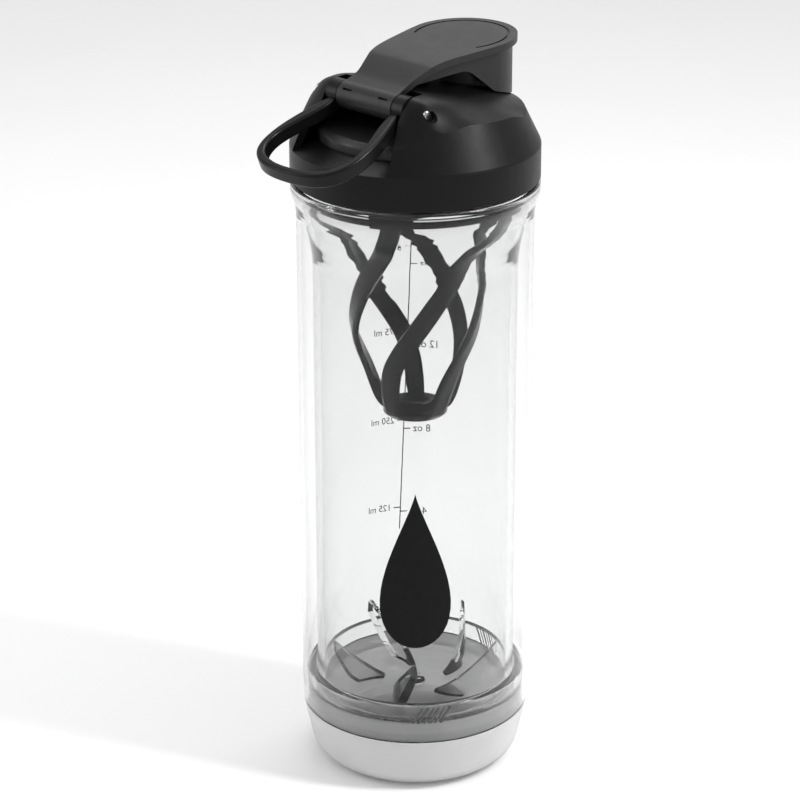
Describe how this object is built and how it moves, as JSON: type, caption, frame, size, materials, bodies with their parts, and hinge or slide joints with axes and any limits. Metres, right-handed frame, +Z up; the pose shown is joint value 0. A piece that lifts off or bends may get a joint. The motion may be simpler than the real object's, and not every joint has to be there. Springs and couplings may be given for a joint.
{
  "type": "protein shaker bottle",
  "caption": "Clear double-wall shaker bottle with a black screw lid, flip cap, swinging carry loop and a hanging twisted mixing insert.",
  "frame": {"origin": "centre of the foot's flat underside, on the bottle's axis", "axes": "+Z up along the bottle; X along the hinge pin; +Y toward the drinking spout and the cap's tip, -Y toward the carry loop"},
  "size_m": [0.0878, 0.1075, 0.2701],
  "materials": {
    "clear_plastic": "clear polished copolyester",
    "frosted_plastic": "translucent frosted copolyester",
    "smoke_plastic": "clear grey moulded ring, finely ribbed",
    "black_ink": "screen printed ink",
    "black_gloss_plastic": "polished moulded plastic",
    "black_matte_plastic": "fine spark-eroded texture",
    "black_cap_plastic": "fine spark-eroded texture, satin top",
    "black_satin_plastic": "satin moulded plastic",
    "grey_silicone": "matte food-grade silicone",
    "steel": "ground stainless pin"
  },
  "bodies": {
    "bottle": {"outer_shell": "clear_plastic", "inner_vessel": "clear_plastic", "neck_thread": "clear_plastic", "mixing_fins": "clear_plastic", "base_cup": "frosted_plastic", "centring_ring": "smoke_plastic", "front_mark": "black_ink", "scale_print": "black_ink"},
    "insert": {"insert_hub": "black_gloss_plastic", "insert_strands": "black_gloss_plastic", "insert_ring": "black_gloss_plastic"},
    "seal": {"lid_gasket": "grey_silicone"},
    "lid": {"lid_cover": "black_matte_plastic", "lid_core": "black_matte_plastic", "spout": "black_matte_plastic", "lid_thread": "black_matte_plastic", "hinge_pin": "steel"},
    "cap": {"flip_cap": "black_cap_plastic", "cap_seal": "grey_silicone"},
    "loop": {"carry_loop": "black_satin_plastic"}
  },
  "joints": [
    {"name": "insert_lift", "type": "slide", "parent": "bottle", "child": "insert", "axis": [0, 0, 1], "range_m": [0, 0.12]},
    {"name": "lid_rise", "type": "slide", "parent": "insert", "child": "seal", "axis": [0, 0, 1], "range_m": [0, 0.0054]},
    {"name": "lid_turn", "type": "hinge", "parent": "seal", "child": "lid", "pos_m": [0, 0, 0.22951], "axis": [0, 0, 1], "range_deg": [0, 450]},
    {"name": "cap_flip", "type": "hinge", "parent": "lid", "child": "cap", "pos_m": [0, -0.02097, 0.25412], "axis": [1, 0, 0], "range_deg": [0, 150]},
    {"name": "loop_swing", "type": "hinge", "parent": "lid", "child": "loop", "pos_m": [0, -0.02097, 0.25412], "axis": [1, 0, 0], "range_deg": [-105, 0]}
  ],
  "couplings": [
    {"joint": "lid_rise", "follows": "lid_turn", "m_per_rad": 0.00068118}
  ]
}
